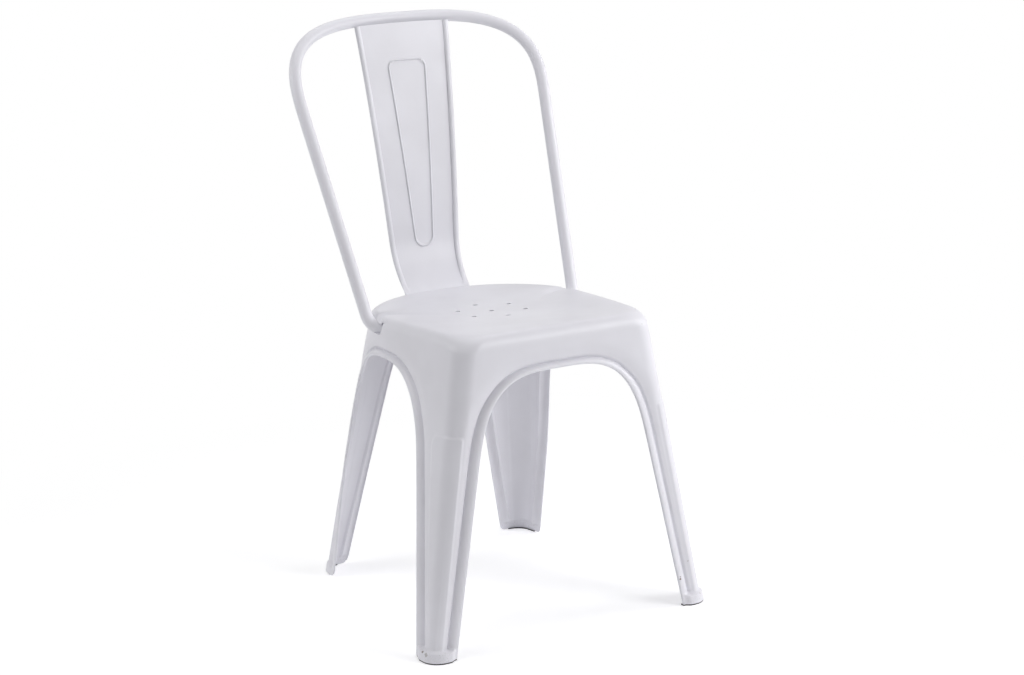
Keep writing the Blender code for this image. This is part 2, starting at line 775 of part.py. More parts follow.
# Stacking pad: a channel of plastic pushed onto the bar from below
def make_pad(name, place):
    slot = Vector((PAD_LENGTH + 2 * PAD_WALL, BRACE_WIDTH + 2 * CLEARANCE, BRACE_THICKNESS + 2 * CLEARANCE))
    outer = Vector((PAD_LENGTH, slot.y + 2 * PAD_WALL, slot.z / 2 + BRACE_THICKNESS / 2 + PAD_BASE))
    drop = Matrix.Translation((0, 0, BRACE_THICKNESS / 2 - outer.z / 2))
    pad = add_part(name, box(name, place @ drop, outer), BLACK_PLASTIC)
    rise = Matrix.Translation((0, 0, slot.z / 2 - BRACE_THICKNESS / 2 - CLEARANCE))
    cut(pad, add_cutter(f"{name}_slot", box(name, place @ rise, slot)))


# Glides: a strip under the foot's edge
def make_glide(end, sign):
    side = "left" if sign > 0 else "right"
    name = f"glide_{end}_{side}"
    edges = [leg_section(end, FOOT_BOTTOM, 0, FOOT_FLARE, inset) for inset in (GLIDE_INSET, GLIDE_WIDTH)]
    outline = edges[0] + edges[1][::-1]
    count = len(outline)
    bm = bmesh.new()

    def place(i, j):
        point = outline[i % count]
        return Vector((sign * point.x, point.y, GLIDE_SHOW * j))

    mapped_grid(bm, count, 1, place)
    bmesh.ops.remove_doubles(bm, verts=bm.verts, dist=MERGE)
    bmesh.ops.holes_fill(bm, edges=bm.edges, sides=0)
    bmesh.ops.recalc_face_normals(bm, faces=bm.faces)
    add_part(name, mesh_from(name, bm), DARK_RUBBER)


# The origin is on the floor, halfway between the front feet and the back of the tube
front_reach = min(point.y for point in leg_section("front", FOOT_BOTTOM, 0, FOOT_FLARE))
rear_reach = hoop_point(math.pi / 2).y + TUBE_DIAMETER / 2
ROOT.location.y = -(front_reach + rear_reach) / 2

make_seat()
leg_trims = [slab("leg_trim", LEG_TOP, LEG_TOP + 3 * TRIM), slab("foot_trim", -TRIM, FOOT_BOTTOM)]
for corner_end, corner_sign in CORNERS:
    make_leg(corner_end, corner_sign, leg_trims)
    make_glide(corner_end, corner_sign)
make_hoop()
make_splat()
make_brace()
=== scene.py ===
# Looks of the white steel bistro chair: pressed sheet, bent tube, paint, rubber and plastic
import math

import bmesh
import bpy
from mathutils import Matrix, Vector


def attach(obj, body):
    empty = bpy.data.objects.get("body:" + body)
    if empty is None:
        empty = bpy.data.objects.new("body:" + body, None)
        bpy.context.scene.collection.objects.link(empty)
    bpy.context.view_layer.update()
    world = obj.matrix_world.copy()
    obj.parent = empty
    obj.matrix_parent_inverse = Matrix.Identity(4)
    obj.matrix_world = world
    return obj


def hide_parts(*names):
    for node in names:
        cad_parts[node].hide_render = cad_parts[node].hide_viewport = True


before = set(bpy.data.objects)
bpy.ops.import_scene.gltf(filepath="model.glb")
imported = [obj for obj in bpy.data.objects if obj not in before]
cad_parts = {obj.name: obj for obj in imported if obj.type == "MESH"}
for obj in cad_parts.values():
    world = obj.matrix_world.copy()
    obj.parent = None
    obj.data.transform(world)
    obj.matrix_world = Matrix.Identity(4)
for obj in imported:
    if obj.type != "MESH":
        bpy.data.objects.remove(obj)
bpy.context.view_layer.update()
shiftY = -0.03141       # sizes count y from the middle drain hole, the frame from mid depth
print("frame loaded:", len(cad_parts), "nodes")


def mixTo(start, stop, share):
    return start + (stop - start) * share


def ease(share):
    share = min(1, max(0, share))
    return share * share * (3 - 2 * share)


def spread(start, stop, steps):         # steps + 1 values from start to stop
    return [mixTo(start, stop, step / steps) for step in range(steps + 1)]


# Pressed steel walls: pairs are at the floor and at the top of the walls
skirt = {
    "top": 0.420,
    "seam": 0.320,                      # legs end here and the seat begins
    "sheet": 0.0014,
    "halvings": 22,                     # of the search for a place on a rounded corner
    "bulge": (0.0095, 0.0100),          # side walls bow out in plan
    "spread": 0.080,                    # side walls turn out towards the front feet
    "middleY": 0.012,                   # middle of the side arches
    "front": {"half": (0.2226, 0.1550), "y": (-0.2086, -0.1894), "in": 1,
              "round": ((0.017, 0.026), (0.017, 0.026))},
    "rear": {"half": (0.1745, 0.1610), "y": (0.2425, 0.1775), "in": -1,
             "round": ((0.018, 0.145), (0.018, 0.150))},
}
arches = {                              # leg width at the floor and at the seam, then the arch
    ("front", "end"): {"leg": (0.0358, 0.0473), "spring": 0.250, "apex": 0.3810, "power": 3.5},
    ("rear", "end"): {"leg": (0.0367, 0.0954), "spring": 0.280, "apex": 0.3810, "power": 3},
    ("front", "side"): {"leg": (0.0447, 0.0963), "spring": 0.262, "apex": 0.3800, "power": 2.7},
    ("rear", "side"): {"leg": (0.0491, 0.0788), "spring": 0.262, "apex": 0.3800, "power": 2.7},
}
rim = {
    "leg": 0.0190, "arch": 0.0125,      # width along the legs and over the arches
    "step": 0.0042, "groove": 0.0030, "fall": 0.0030, "approach": 0.0200,
    "crest": 0.0010, "roll": 0.0025, "return": 0.0030, "bandPower": 2.6,
    "rollSteps": 6, "flatSteps": 8, "stepSteps": 6,
}


def cornerTip(end, z):
    share = z / skirt["top"]
    return Vector((mixTo(*skirt[end]["half"], share), mixTo(*skirt[end]["y"], share)))


def roundings(end, z):
    return [mixTo(*pair, z / skirt["top"]) for pair in skirt[end]["round"]]


def straightPoint(end, kind, q, z):     # q is x on an end wall and y on the side wall
    if kind == "end":
        return Vector((q, cornerTip(end, z).y)), Vector((0, -skirt[end]["in"]))
    front = cornerTip("front", z)
    run = cornerTip("rear", z) - front
    share = (q - front.y) / run.y
    bulge = 4 * mixTo(*skirt["bulge"], z / skirt["top"])
    turned = skirt["spread"] * (1 - z / skirt["top"])
    point = front + run * share + Vector(((bulge + turned * (1 - share) ** 2) * share * (1 - share), 0))
    slope = bulge * (1 - 2 * share) + turned * (1 - share) ** 2 * (1 - 4 * share)
    return point, Vector((run.y, -run.x - slope)).normalized()


def filletPoint(end, share, z, reaches, out):   # rounded corner, from the end wall to the side wall
    tip = cornerTip(end, z)
    first = straightPoint(end, "end", tip.x - reaches[0], z)[0]
    last = straightPoint(end, "side", tip.y + skirt[end]["in"] * reaches[1], z)[0]
    weight = math.sqrt(0.5)
    a, b, c = (1 - share) ** 2, 2 * weight * share * (1 - share), share ** 2
    point = (first * a + tip * b + last * c) / (a + b + c)
    tangent = (tip - first) * (1 - share) + (last - tip) * share
    normal = Vector((tangent.y, -tangent.x)) * skirt[end]["in"]
    return point + normal.normalized() * out


def filletShare(end, kind, distance, z, reaches):
    axis = 0 if kind == "end" else 1
    if distance >= reaches[axis]:
        return axis
    tip = cornerTip(end, z)[axis]
    low, high = 0, 1
    for halving in range(skirt["halvings"]):
        share = (low + high) / 2
        nearer = abs(filletPoint(end, share, z, reaches, 0)[axis] - tip) < distance
        if nearer == (kind == "end"):
            high = share
        else:
            low = share
    return (low + high) / 2


def wallPoint(end, kind, distance, z, reaches, out):
    if distance < reaches[0 if kind == "end" else 1]:
        return filletPoint(end, filletShare(end, kind, distance, z, reaches), z, reaches, out)
    tip = cornerTip(end, z)
    q = tip.x - distance if kind == "end" else tip.y + skirt[end]["in"] * distance
    point, normal = straightPoint(end, kind, q, z)
    return point + normal * out


def middleDistance(end, kind, z):
    tip = cornerTip(end, z)
    return tip.x if kind == "end" else abs(skirt["middleY"] - tip.y)


def edgeDistance(end, kind, z, closed):
    middle = middleDistance(end, kind, z)
    return middle - (middle - mixTo(*arches[end, kind]["leg"], z / skirt["seam"])) * closed


def edgeAtHeight(end, kind, z):
    arch = arches[end, kind]
    rise = min(1, max(0, (z - arch["spring"]) / (arch["apex"] - arch["spring"])))
    return edgeDistance(end, kind, z, (1 - rise ** arch["power"]) ** (1 / arch["power"]))


def edgeAlongArch(end, kind, share):
    arch = arches[end, kind]
    height, power = arch["apex"] - arch["spring"], arch["power"]
    start = math.asin(((skirt["seam"] - arch["spring"]) / height) ** (power / 2))
    angle = mixTo(start, math.pi / 2, share)
    z = arch["spring"] + height * math.sin(angle) ** (2 / power)
    return edgeDistance(end, kind, z, max(0, math.cos(angle)) ** (2 / power)), z


def rimFall(before):                    # the panel sinks towards its rim
    return rim["fall"] * max(0, 1 - before / rim["approach"]) ** 2


def rimProfile(width):                  # way in from the edge, and offset: roll, band, groove, step
    points = [(0, rim["crest"] - rim["return"])]
    for turn in spread(0, math.pi / 2, rim["rollSteps"]):
        out = rim["crest"] + rim["roll"] * (math.sin(turn) - 1)
        points.append((rim["roll"] * (1 - math.cos(turn)), out))
    flatEnd, lowest = width - rim["step"], -rim["fall"] - rim["groove"]
    for share in spread(0, 1, rim["flatSteps"])[1:]:
        out = mixTo(rim["crest"], lowest, share ** rim["bandPower"])
        points.append((mixTo(rim["roll"], flatEnd, share), out))
    for share in spread(0, 1, rim["stepSteps"])[1:]:
        points.append((mixTo(flatEnd, width, share), mixTo(lowest, -rim["fall"], ease(share))))
    return points


# Meshes: a grid of points becomes a surface, surfaces are joined, thickened and shaded
mending = {"weld": 0.00002, "needle": 0.00001, "sharp": 38}     # reaches in metres, angle in degrees


def sideName(sign):
    return "left" if sign > 0 else "right"


def addGrid(bm, rows, sign=1):
    columns = len(rows[0]) - 1
    made = bmesh.ops.create_grid(bm, x_segments=columns, y_segments=len(rows) - 1, size=1)
    for vert in made["verts"]:
        i = round((vert.co.x + 1) / 2 * columns)
        j = round((vert.co.y + 1) / 2 * (len(rows) - 1))
        x, y, z = rows[j][i]
        vert.co = (sign * x, y + shiftY, z)


def makePiece(name, bm, inside=None):
    bmesh.ops.remove_doubles(bm, verts=bm.verts, dist=mending["weld"])
    bmesh.ops.dissolve_degenerate(bm, edges=bm.edges, dist=mending["needle"])
    bmesh.ops.recalc_face_normals(bm, faces=bm.faces)
    if inside:                          # an open sheet turns its faces away from this point
        outward = 0
        for face in bm.faces:
            outward += (face.calc_center_median() - inside).dot(face.normal) * face.calc_area()
        if outward < 0:
            bmesh.ops.reverse_faces(bm, faces=bm.faces)
    mesh = bpy.data.meshes.new(name)
    bm.to_mesh(mesh)
    bm.free()
    piece = bpy.data.objects.new(name, mesh)
    bpy.context.scene.collection.objects.link(piece)
    return piece


def thicken(piece):
    shell = piece.modifiers.new("sheet", "SOLIDIFY")
    shell.thickness = skirt["sheet"]
    shell.offset = -1
    shell.use_quality_normals = True


def cutWith(piece, bm):
    cutter = makePiece(piece.name + "Cutter", bm)
    boolean = piece.modifiers.new("cut", "BOOLEAN")
    boolean.object = cutter
    return cutter


def dropSlivers(mesh):                  # the cuts leave needle faces of no width behind
    bm = bmesh.new()
    bm.from_mesh(mesh)
    bmesh.ops.remove_doubles(bm, verts=bm.verts, dist=mending["weld"])
    bmesh.ops.triangulate(bm, faces=[face for face in bm.faces if len(face.verts) > 4])
    bmesh.ops.dissolve_degenerate(bm, edges=bm.edges, dist=mending["weld"])
    bmesh.ops.triangulate(bm, faces=bm.faces)
    bmesh.ops.dissolve_degenerate(bm, edges=bm.edges, dist=mending["needle"])
    bm.to_mesh(mesh)
    bm.free()


def settle(piece, cutters=()):          # applies the modifiers and shades smooth between sharp edges
    view = bpy.context.evaluated_depsgraph_get()
    mesh = bpy.data.meshes.new_from_object(piece.evaluated_get(view))
    piece.modifiers.clear()
    piece.data = mesh
    for cutter in cutters:
        bpy.data.objects.remove(cutter)
    if cutters:
        dropSlivers(mesh)
    mesh.shade_smooth()
    mesh.set_sharp_from_angle(angle=math.radians(mending["sharp"]))


def dress(piece, material, solid):    # solid is the node that the piece stands in for
    piece.data.materials.clear()
    piece.data.materials.append(material)
    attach(piece, "root")
    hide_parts(solid)


# Shader maths: a wrapped socket adds Math nodes for + - * and for the larger of two
class Wire:
    def __init__(self, tree, socket):
        self.tree = tree
        self.socket = socket

    def math(self, operation, first, second):
        added = self.tree.nodes.new("ShaderNodeMath")
        added.operation = operation
        for entry, value in zip(added.inputs, (first, second)):
            if isinstance(value, Wire):
                self.tree.links.new(value.socket, entry)
            else:
                entry.default_value = value
        return Wire(self.tree, added.outputs[0])

    def __add__(self, other):
        return self.math("ADD", self, other)

    def __radd__(self, other):
        return self.math("ADD", other, self)

    def __sub__(self, other):
        return self.math("SUBTRACT", self, other)

    def __rsub__(self, other):
        return self.math("SUBTRACT", other, self)

    def __mul__(self, other):
        return self.math("MULTIPLY", self, other)

    def __rmul__(self, other):
        return self.math("MULTIPLY", other, self)

    def over(self, other):              # the larger of the two
        return self.math("MAXIMUM", self, other)


class Finish:
    def __init__(self, owner):          # owner is a new material or world
        owner.use_nodes = True
        self.owner = owner
        self.tree = owner.node_tree

    def add(self, kind, settings, sockets, out=0):      # any other node: type, settings, then sockets
        added = self.tree.nodes.new(kind)
        for key, value in settings.items():
            setattr(added, key, value)
        for key, value in sockets.items():
            self.put(added.inputs[key], value)
        return Wire(self.tree, added.outputs[out])

    def put(self, entry, value):
        if isinstance(value, Wire):
            self.tree.links.new(value.socket, entry)
        else:
            entry.default_value = value

    def set(self, **sockets):
        shader = self.tree.nodes["Principled BSDF"]
        for key, value in sockets.items():
            self.put(shader.inputs[key.replace("_", " ")], value)

    def place(self):
        return self.add("ShaderNodeTexCoord", {}, {}, 3)

    def height(self):
        return self.add("ShaderNodeSeparateXYZ", {}, {"Vector": self.place()}, 2)

    def noise(self, scale, detail, rough):
        sockets = {"Vector": self.place(), "Scale": scale, "Detail": detail, "Roughness": rough}
        return self.add("ShaderNodeTexNoise", {}, sockets)

    def ramp(self, value, low, high):   # smooth, 0 below low and 1 above high
        sockets = {"Value": value, "From Min": low, "From Max": high}
        return self.add("ShaderNodeMapRange", {"interpolation_type": "SMOOTHSTEP"}, sockets)

    def blend(self, share, first, second):
        settings = {"data_type": "RGBA", "clamp_factor": True}
        return self.add("ShaderNodeMix", settings, {0: share, 6: first, 7: second}, 2)

    def bump(self, height, strength):   # height in metres
        sockets = {"Height": height, "Strength": strength, "Distance": 1.0}
        return self.add("ShaderNodeBump", {}, sockets)


# Powder coat: cool white with fine orange peel, slow colour drift, rub marks, chips and dirt at the feet
paint = {
    "colour": (0.748, 0.742, 0.793, 1),
    "shade": (0.712, 0.705, 0.752, 1),
    "rust": (0.150, 0.075, 0.035, 1),
    "steel": (0.240, 0.225, 0.205, 1),
    "dirt": (0.400, 0.385, 0.370, 1),   # specks round the feet
    "roughness": 0.42,
    "noises": {                         # scale, detail and roughness
        "drift": (7, 3, 0.6), "rubs": (28, 5, 0.7), "waves": (55, 2, 0.5), "peel": (700, 2, 0.5),
        "bare": (260, 2, 0.5), "ragged": (380, 3, 0.6), "specks": (620, 3, 0.7),
    },
    "spans": {                          # noise values between which a mark comes in
        "drift": (0.35, 0.70), "rubs": (0.60, 0.74), "bare": (0.40, 0.60), "specks": (0.56, 0.64),
    },
    "roughens": {"drift": 0.10, "rubs": 0.06, "chips": 0.25},
    "heights": {"peel": 0.00006, "waves": 0.00018, "chips": 0.00025},
    "bump": 0.6,
    "dirtHeight": (0.010, 0.024), "dirtStrength": 0.4,
    "chipCore": 0.6, "chipRagged": 1.6,
    "chips": [                          # place on the chair, radius and strength
        ((-0.2287, -0.2188, 0.0143), 0.0022, 0.80), ((-0.2278, -0.2272, 0.0125), 0.0034, 0.50),
        ((0.1824, -0.2389, 0.0419), 0.0019, 0.9), ((0.1824, -0.2389, 0.0450), 0.0013, 0.6),
        ((0.1981, -0.2360, 0.0653), 0.0017, 0.3), ((0.2145, -0.2418, 0.0147), 0.0018, 0.25),
        ((0.1365, -0.2187, 0.4228), 0.0012, 0.35),
    ],
}


def paintFinish():
    coat = Finish(bpy.data.materials.new("whitePaint"))
    noise = {name: coat.noise(*settings) for name, settings in paint["noises"].items()}
    share = {name: coat.ramp(noise[name], *span) for name, span in paint["spans"].items()}
    colour = coat.blend(share["drift"], paint["colour"], paint["shade"])
    marks = []
    for centre, radius, strength in paint["chips"]:
        settings, sockets = {"operation": "DISTANCE"}, {0: coat.place(), 1: centre}
        reach = coat.add("ShaderNodeVectorMath", settings, sockets, 1)
        ragged = reach + (noise["ragged"] - 0.5) * radius * paint["chipRagged"]
        marks.append((1 - coat.ramp(ragged, radius * paint["chipCore"], radius)) * strength)
    chipped = marks[0]
    for mark in marks[1:]:
        chipped = chipped.over(mark)
    bare = coat.blend(share["bare"], paint["rust"], paint["steel"])
    low = 1 - coat.ramp(coat.height(), *paint["dirtHeight"])
    colour = coat.blend(share["specks"] * low * paint["dirtStrength"], colour, paint["dirt"])
    colour = coat.blend(chipped, colour, bare)
    rougher, heights = paint["roughens"], paint["heights"]
    rough = paint["roughness"] + (noise["drift"] - 0.5) * rougher["drift"]
    rough = rough + share["rubs"] * rougher["rubs"] + chipped * rougher["chips"]
    height = noise["peel"] * heights["peel"] + noise["waves"] * heights["waves"]
    height = height - chipped * heights["chips"]
    coat.set(Base_Color=colour, Roughness=rough, Normal=coat.bump(height, paint["bump"]))
    return coat.owner


# Rubber of the glides: nearly black, dusty and scuffed
rubber = {
    "colour": (0.030, 0.029, 0.031, 1), "dust": (0.115, 0.108, 0.100, 1), "roughness": 0.72,
    "grain": (900, 3, 0.6), "grainHeight": 0.0001, "bump": 0.5,
    "dusty": (130, 4, 0.65), "dustySpan": (0.52, 0.75), "dustStrength": 0.7, "dustRoughens": 0.15,
}


def rubberFinish():
    coat = Finish(bpy.data.materials.new("darkRubber"))
    dusty = coat.ramp(coat.noise(*rubber["dusty"]), *rubber["dustySpan"])
    height = coat.noise(*rubber["grain"]) * rubber["grainHeight"]
    coat.set(Base_Color=coat.blend(dusty * rubber["dustStrength"], rubber["colour"], rubber["dust"]),
             Roughness=rubber["roughness"] + dusty * rubber["dustRoughens"],
             Normal=coat.bump(height, rubber["bump"]))
    return coat.owner


# Moulded plastic of the stacking pads under the seat
plastic = {
    "colour": (0.045, 0.045, 0.048, 1), "worn": (0.090, 0.088, 0.088, 1), "roughness": 0.48,
    "grain": (1500, 2, 0.5), "grainHeight": 0.00008, "grainRoughens": 0.08, "bump": 0.4,
    "wear": (90, 4, 0.7), "wearSpan": (0.55, 0.70), "wearSmooths": 0.10,
}


def plasticFinish():
    coat = Finish(bpy.data.materials.new("blackPlastic"))
    grain = coat.noise(*plastic["grain"])
    worn = coat.ramp(coat.noise(*plastic["wear"]), *plastic["wearSpan"])
    rough = plastic["roughness"] - worn * plastic["wearSmooths"] + grain * plastic["grainRoughens"]
    coat.set(Base_Color=coat.blend(worn, plastic["colour"], plastic["worn"]), Roughness=rough,
             Normal=coat.bump(grain * plastic["grainHeight"], plastic["bump"]))
    return coat.owner


# Back tube: straight leaning sides, bent into the seat's notches, with a rounded and bowed top
tube = {
    "diameter": 0.0176,
    "foot": (0.1726, 0.0625, 0.440), "spring": (0.2001, 0.1710, 0.700),
    "bend": 0.020, "insert": 0.020, "endZ": 0.416, "inward": (-1, -1, 0),
    "top": 0.8405, "bow": 0.0400, "power": 3.27,
    "bendSteps": 12, "topSteps": 64, "sides": 10,
}


def sideLine(z):
    lower, upper = Vector(tube["foot"]), Vector(tube["spring"])
    return lower + (upper - lower) * ((z - lower.z) / (upper.z - lower.z))


def hoopPoint(angle):
    spring = tube["spring"][2]
    z = spring + (tube["top"] - tube["diameter"] / 2 - spring) * math.sin(angle) ** (2 / tube["power"])
    share = max(0, math.cos(angle)) ** (2 / tube["power"])
    line = sideLine(z)
    return Vector((line.x * share, line.y + tube["bow"] * (1 - share ** 2), z))


def hoopPath():
    knee = sideLine(tube["endZ"])
    inward = Vector(tube["inward"]).normalized()
    upward = (sideLine(tube["spring"][2]) - knee).normalized()
    points = [knee + inward * (tube["bend"] + tube["insert"])]
    for t in spread(0, 1, tube["bendSteps"]):
        start, stop = knee + inward * tube["bend"], knee + upward * tube["bend"]
        points.append(start * (1 - t) ** 2 + knee * (2 * t * (1 - t)) + stop * t ** 2)
    points += [hoopPoint(angle) for angle in spread(0, math.pi / 2, tube["topSteps"])]
    return points + [Vector((-point.x, point.y, point.z)) for point in points[-2::-1]]


def hoopMesh(radius):
    points = hoopPath()
    curve = bpy.data.curves.new("hoopGuide", "CURVE")
    curve.dimensions = "3D"
    spline = curve.splines.new("POLY")
    spline.points.add(len(points) - 1)
    for spot, point in zip(spline.points, points):
        spot.co = (point.x, point.y + shiftY, point.z, 1)
    curve.bevel_depth = radius
    curve.bevel_resolution = tube["sides"]
    curve.use_fill_caps = True
    guide = bpy.data.objects.new("hoopGuide", curve)
    bpy.context.scene.collection.objects.link(guide)
    view = bpy.context.evaluated_depsgraph_get()
    bm = bmesh.new()
    bm.from_mesh(bpy.data.meshes.new_from_object(guide.evaluated_get(view)))
    bpy.data.objects.remove(guide)
    return bm


def makeHoop():
    hoop = makePiece("backHoop", hoopMesh(tube["diameter"] / 2))
    settle(hoop)
    return hoop


# Legs: rim on both edges, raised tongue on the corner, ledge at the foot
leg = {
    "tongueTop": 0.307, "tongueRise": {"front": 0.0013, "rear": 0.0006}, "tongueStep": 0.0042,
    "tongueRound": {"end": 0.006, "side": 0.017},
    "tongue": {                         # its edge from the corner, at its top
        ("front", "end"): 0.0165, ("front", "side"): 0.0500,
        ("rear", "end"): 0.0450, ("rear", "side"): 0.0450,
    },
    "panelRows": 30, "tongueRows": 18, "seamRows": 3,
    "fineReach": 1.2,                   # rows are closer from this many roundings below the tongue's top
    "panelSteps": 6, "edgeSteps": 8, "tongueSteps": 10, "bendSteps": 24,
}
foot = {
    "bottom": {"front": 0.0021, "rear": 0.0013}, "top": 0.0138, "slope": 0.0048,
    "flare": {"front": 0.0060, "rear": 0.0030},
    "taper": {                          # share of the rim's width in which the flare comes in
        ("front", "end"): 0.60, ("front", "side"): 1.0,
        ("rear", "end"): 1.0, ("rear", "side"): 1.0,
    },
    "lift": {                           # the wall's end is rounded up off the floor
        ("front", "end"): 0.0, ("front", "side"): 0.0025,
        ("rear", "end"): 0.0045, ("rear", "side"): 0.0045,
    },
    "liftReach": 0.0090,
    "wallRows": 5, "slopeRows": 6,
}


def legHeights(end):
    panelStart = foot["top"] + foot["slope"]
    fine = leg["tongueTop"] - leg["fineReach"] * leg["tongueRound"]["side"]
    rows = spread(foot["bottom"][end], foot["top"], foot["wallRows"])
    rows += spread(foot["top"], panelStart, foot["slopeRows"])[1:]
    rows += spread(panelStart, fine, leg["panelRows"])[1:]
    rows += spread(fine, leg["tongueTop"] + leg["tongueStep"], leg["tongueRows"])[1:]
    return rows + spread(rows[-1], skirt["seam"], leg["seamRows"])[1:]


def tongueRise(end, kind, reach, z):    # reach is the way out from the tongue's edge
    rounded = leg["tongueRound"][kind]
    side, up = reach + rounded, z - leg["tongueTop"] + rounded
    outside = min(max(side, up), 0) + math.hypot(max(side, 0), max(up, 0)) - rounded
    above = ease((z - foot["top"]) / foot["slope"])
    return leg["tongueRise"][end] * ease(0.5 - outside / leg["tongueStep"]) * above


def legSection(end, z, inset=0.0, raised=True):
    reaches = roundings(end, z)
    inFoot, flare = ease(1 - (z - foot["top"]) / foot["slope"]), foot["flare"][end]
    walls, shares, tongues, panels = [], [], [], []
    for axis, kind in enumerate(("end", "side")):
        length = edgeAtHeight(end, kind, z)
        panel, step = length - rim["leg"], leg["tongueStep"]
        narrow = edgeAtHeight(end, kind, 0) - rim["leg"] - step
        tongue = mixTo(narrow, leg["tongue"][end, kind], min(1, z / leg["tongueTop"]))
        inner = min(tongue - step, reaches[axis])
        stops = []
        for depth, out in rimProfile(rim["leg"]):       # the groove runs out in the foot
            past = max(0, depth - rim["roll"]) / (rim["leg"] - rim["roll"])
            filled = mixTo(rim["crest"], flare, ease(past / foot["taper"][end, kind])) if past else out
            stops.append((length - depth, mixTo(out, filled, inFoot)))
        edges = [panel, tongue + step / 2, tongue - step / 2, inner]
        counts = [leg["panelSteps"], leg["edgeSteps"], leg["tongueSteps"]]
        for start, stop, count in zip(edges, edges[1:], counts):
            for distance in spread(start, stop, count)[1:]:
                stops.append((distance, mixTo(-rimFall(panel - distance), flare, inFoot)))
        points = []
        for distance, out in stops:
            rise = tongueRise(end, kind, distance - tongue, z) if raised else 0
            point = wallPoint(end, kind, distance, z, reaches, out + rise - inset)
            near = max(0, 1 - (length - distance) / foot["liftReach"])
            points.append((point.x, point.y, foot["lift"][end, kind] * near ** 2))
        walls.append(points)
        tongues.append(tongue)
        panels.append(panel)
        shares.append(filletShare(end, kind, inner, z, reaches))
    bend = []
    tip = cornerTip(end, z)
    for share in spread(shares[0], shares[1], leg["bendSteps"])[1:-1]:
        axis = round(share)
        kind = ("end", "side")[axis]
        way = abs(filletPoint(end, share, z, reaches, 0)[axis] - tip[axis])
        rise = tongueRise(end, kind, way - tongues[axis], z) if raised else 0
        out = mixTo(-rimFall(panels[axis] - way), flare, inFoot) + rise - inset
        point = filletPoint(end, share, z, reaches, out)
        bend.append((point.x, point.y, 0))
    return walls[0] + bend + walls[1][::-1]


def legRow(end, z):                     # the foot's ends are rounded up off the floor
    low = max(0, foot["top"] - z) / (foot["top"] - foot["bottom"][end])
    return [(x, y, z + lift * low) for x, y, lift in legSection(end, z)]


def makeLeg(end, sign, rows):
    bm = bmesh.new()
    addGrid(bm, rows, sign)
    middle = rows[len(rows) // 2]
    inside = (Vector(middle[0]) + Vector(middle[-1])) / 2
    piece = makePiece("leg" + end.capitalize() + sideName(sign).capitalize(), bm,
                      Vector((sign * inside.x, inside.y + shiftY, inside.z)))
    thicken(piece)
    settle(piece)
    return piece


# Seat: walls over the arches, rounded corners, soft shoulder, dished top with a valley at each notch
seat = {
    "rise": (0.0205, 0.0100),           # over the walls, at the front and at the rear
    "dish": 0.008, "dishPower": 1.5, "shoulder": 0.016, "corner": 0.060, "rearLine": 0.085,
    "cornerRows": 14, "wallRows": 34, "panelColumns": 9, "bendSteps": 18, "shoulderSteps": 9,
    "edgeRings": 42, "midRings": 14, "midShare": 0.5, "lastShare": 0.02,
    "hole": 0.006, "holeCircle": 0.049, "holes": 6, "holeSides": 28,
    "holeDepth": 0.006, "holeProud": 0.0012, "holeFlare": 0.7,     # punched holes open downwards
    "notchY": (0.0255, 0.0155, 0.062),  # front edge at the bottom and at the top, then the rear edge
    "notchZ": (0.410, 0.4285), "notchX": (-0.004, 0.010), "notchTurn": 0.87, "notchRound": 0.002,
    "notchTall": 2, "notchSteps": 5,    # the block stands this many times as high as the mouth
    "tubeGap": 0.0003,
    "press": {"crest": (0.1485, 0.0372), "outside": 50.5, "inside": 2.36, "power": 1.56,
              "step": 0.0060, "back": 0.022, "depth": 0.0060, "reach": (0.050, 0.165)},
}


def cornerLine(end, kind, z):
    low = min(roundings(end, skirt["seam"])[0 if kind == "end" else 1],
              edgeAtHeight(end, kind, skirt["seam"]) - 2 * rim["leg"])
    high = skirt["front"]["round"][0][1] if end == "front" else seat["rearLine"]
    return mixTo(low, high, (z - skirt["seam"]) / (skirt["top"] - skirt["seam"]))


def halfWall(end, kind):
    count = seat["cornerRows"] + seat["wallRows"]
    middle = middleDistance(end, kind, skirt["top"])
    rows = []
    for j in range(count + 1):
        z = mixTo(skirt["seam"], skirt["top"], min(1, j / seat["cornerRows"]))
        along = max(0, j - seat["cornerRows"]) / seat["wallRows"]
        first = Vector((mixTo(cornerLine(end, kind, z), middle, along), z))
        last = Vector(edgeAlongArch(end, kind, j / count))
        if j == count:                  # both halves of a wall meet on the same upright line
            first.x = last.x
        length = (last - first).length
        width = mixTo(rim["leg"], rim["arch"], j / count)
        panel = length - width
        stops = [(stop, -rimFall(panel - stop)) for stop in spread(0, panel, seat["panelColumns"])]
        stops += [(length - distance, out) for distance, out in rimProfile(width)[-2::-1]]
        row = []
        for way, out in stops:
            distance, height = first.lerp(last, way / length)
            if j == count:
                distance = middleDistance(end, kind, height)
            point = wallPoint(end, kind, distance, height, roundings(end, height), out)
            row.append((point.x, point.y, height))
        rows.append(row)
    return rows


def cornerShares(end, distances, z, reaches):
    return [filletShare(end, kind, way, z, reaches) for kind, way in zip(("end", "side"), distances)]


def cornerWall(end):
    rows = []
    for z in spread(skirt["seam"], skirt["top"], seat["cornerRows"]):
        reaches = roundings(end, z)
        ways = [cornerLine(end, kind, z) for kind in ("end", "side")]
        shares = cornerShares(end, ways, z, reaches)
        points = [filletPoint(end, share, z, reaches, 0) for share in spread(*shares, seat["bendSteps"])]
        rows.append([(point.x, point.y, z) for point in points])
    return rows


